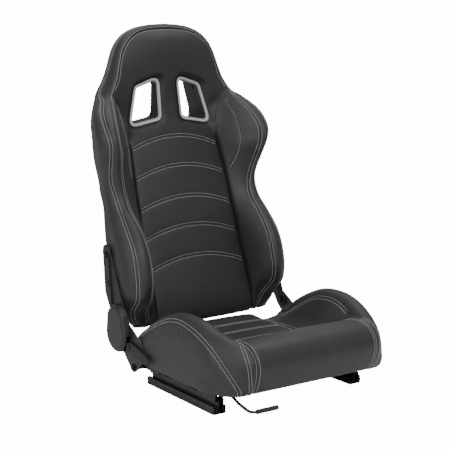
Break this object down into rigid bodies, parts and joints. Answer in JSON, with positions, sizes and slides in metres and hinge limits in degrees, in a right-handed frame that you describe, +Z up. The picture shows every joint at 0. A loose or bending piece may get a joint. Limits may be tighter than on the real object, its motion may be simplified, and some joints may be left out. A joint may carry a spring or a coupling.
{
  "type": "racing seat",
  "caption": "Reclining bucket seat with integrated headrest, harness slots, deep shoulder wings and bolsters, standing on slide rails with a release bar.",
  "frame": {"origin": "on the floor plane under the middle of the seat, midway between the rails and midway from the front roll to the back of the shell", "axes": "+Z up; the seat faces -Y; +X is towards the occupant's left, so the recliner cover and both levers are on the -X side"},
  "size_m": [0.561, 0.781, 0.9155],
  "materials": {
    "black_hide": "satin black coated leather, light grey twin stitching",
    "centre_hide": "matt black coated leather, light grey twin stitching",
    "shell_plastic": "fine-grained black moulding",
    "bezel_plastic": "satin silver-grey painted moulding",
    "cover_plastic": "satin black moulding",
    "grip_rubber": "ribbed black rubber",
    "black_steel": "black powder coat",
    "arm_steel": "dark phosphated steel",
    "zinc_steel": "zinc plated",
    "spring_steel": "oiled spring steel"
  },
  "bodies": {
    "floor_rails": {"rail_bolt_front_left": "zinc_steel", "rail_bolt_front_right": "zinc_steel", "rail_bolt_rear_left": "zinc_steel", "rail_bolt_rear_right": "zinc_steel", "rail_lower_left": "black_steel", "rail_lower_right": "black_steel"},
    "slide_cages": {"slide_cage_left": "zinc_steel", "slide_cage_right": "zinc_steel"},
    "seat": {"arm_bracket_bolt_left": "zinc_steel", "arm_bracket_bolt_right": "zinc_steel", "arm_bracket_left": "black_steel", "arm_bracket_right": "black_steel", "cushion_bolster_left": "black_hide", "cushion_bolster_right": "black_hide", "cushion_insert_pad": "centre_hide", "frame_bolt_front_left": "zinc_steel", "frame_bolt_front_right": "zinc_steel", "frame_bolt_rear_left": "zinc_steel", "frame_bolt_rear_right": "zinc_steel", "frame_side_left": "black_steel", "frame_side_right": "black_steel", "frame_tube_front": "black_steel", "frame_tube_rear": "black_steel", "front_roll": "black_hide", "rail_upper_left": "black_steel", "rail_upper_right": "black_steel", "recliner_cover": "cover_plastic", "recliner_lever_rivet": "zinc_steel", "recliner_lower_arm_left": "black_steel", "recliner_lower_arm_right": "black_steel", "recliner_pin_left": "zinc_steel", "recliner_pin_right": "zinc_steel", "recliner_spring": "spring_steel", "release_bracket_left": "black_steel", "release_bracket_right": "black_steel", "seat_pan": "black_steel"},
    "backrest": {"back_bolster_left": "black_hide", "back_bolster_right": "black_hide", "back_bolt_lower_left": "zinc_steel", "back_bolt_lower_right": "zinc_steel", "back_bolt_upper_left": "zinc_steel", "back_bolt_upper_right": "zinc_steel", "back_centre_pad": "centre_hide", "back_cross_tube": "black_steel", "back_frame_hoop": "black_steel", "back_shell": "shell_plastic", "back_spring_1": "spring_steel", "back_spring_2": "spring_steel", "harness_back_tray": "shell_plastic", "harness_bezel_left": "bezel_plastic", "harness_bezel_right": "bezel_plastic", "headrest_rim": "black_hide", "recliner_upper_arm_left": "arm_steel", "recliner_upper_arm_right": "arm_steel"},
    "lever": {"recliner_lever": "grip_rubber"},
    "slide_release": {"release_bar": "black_steel", "release_claw_left": "black_steel", "release_claw_right": "black_steel", "release_grip": "grip_rubber"}
  },
  "joints": [
    {"name": "seat_slide", "type": "slide", "parent": "floor_rails", "child": "seat", "axis": [0, 1, 0], "range_m": [-0.08, 0.08]},
    {"name": "cage_roll", "type": "slide", "parent": "floor_rails", "child": "slide_cages", "axis": [0, 1, 0], "range_m": [-0.045, 0.045]},
    {"name": "back_recline", "type": "hinge", "parent": "seat", "child": "backrest", "pos_m": [0, 0.1165, 0.142], "axis": [1, 0, 0], "range_deg": [-55, 38]},
    {"name": "recliner_lever_lift", "type": "hinge", "parent": "seat", "child": "lever", "pos_m": [-0.272, 0.0565, 0.099], "axis": [-1, 0, 0], "range_deg": [0, 22], "stiffness_Nm_per_rad": 0.6, "springref_deg": -17.19},
    {"name": "slide_release_lift", "type": "hinge", "parent": "seat", "child": "slide_release", "pos_m": [0, -0.2385, 0.046], "axis": [-1, 0, 0], "range_deg": [0, 8], "stiffness_Nm_per_rad": 3, "springref_deg": -14.32}
  ],
  "couplings": [
    {"joint": "cage_roll", "follows": "seat_slide", "ratio": 0.5}
  ]
}
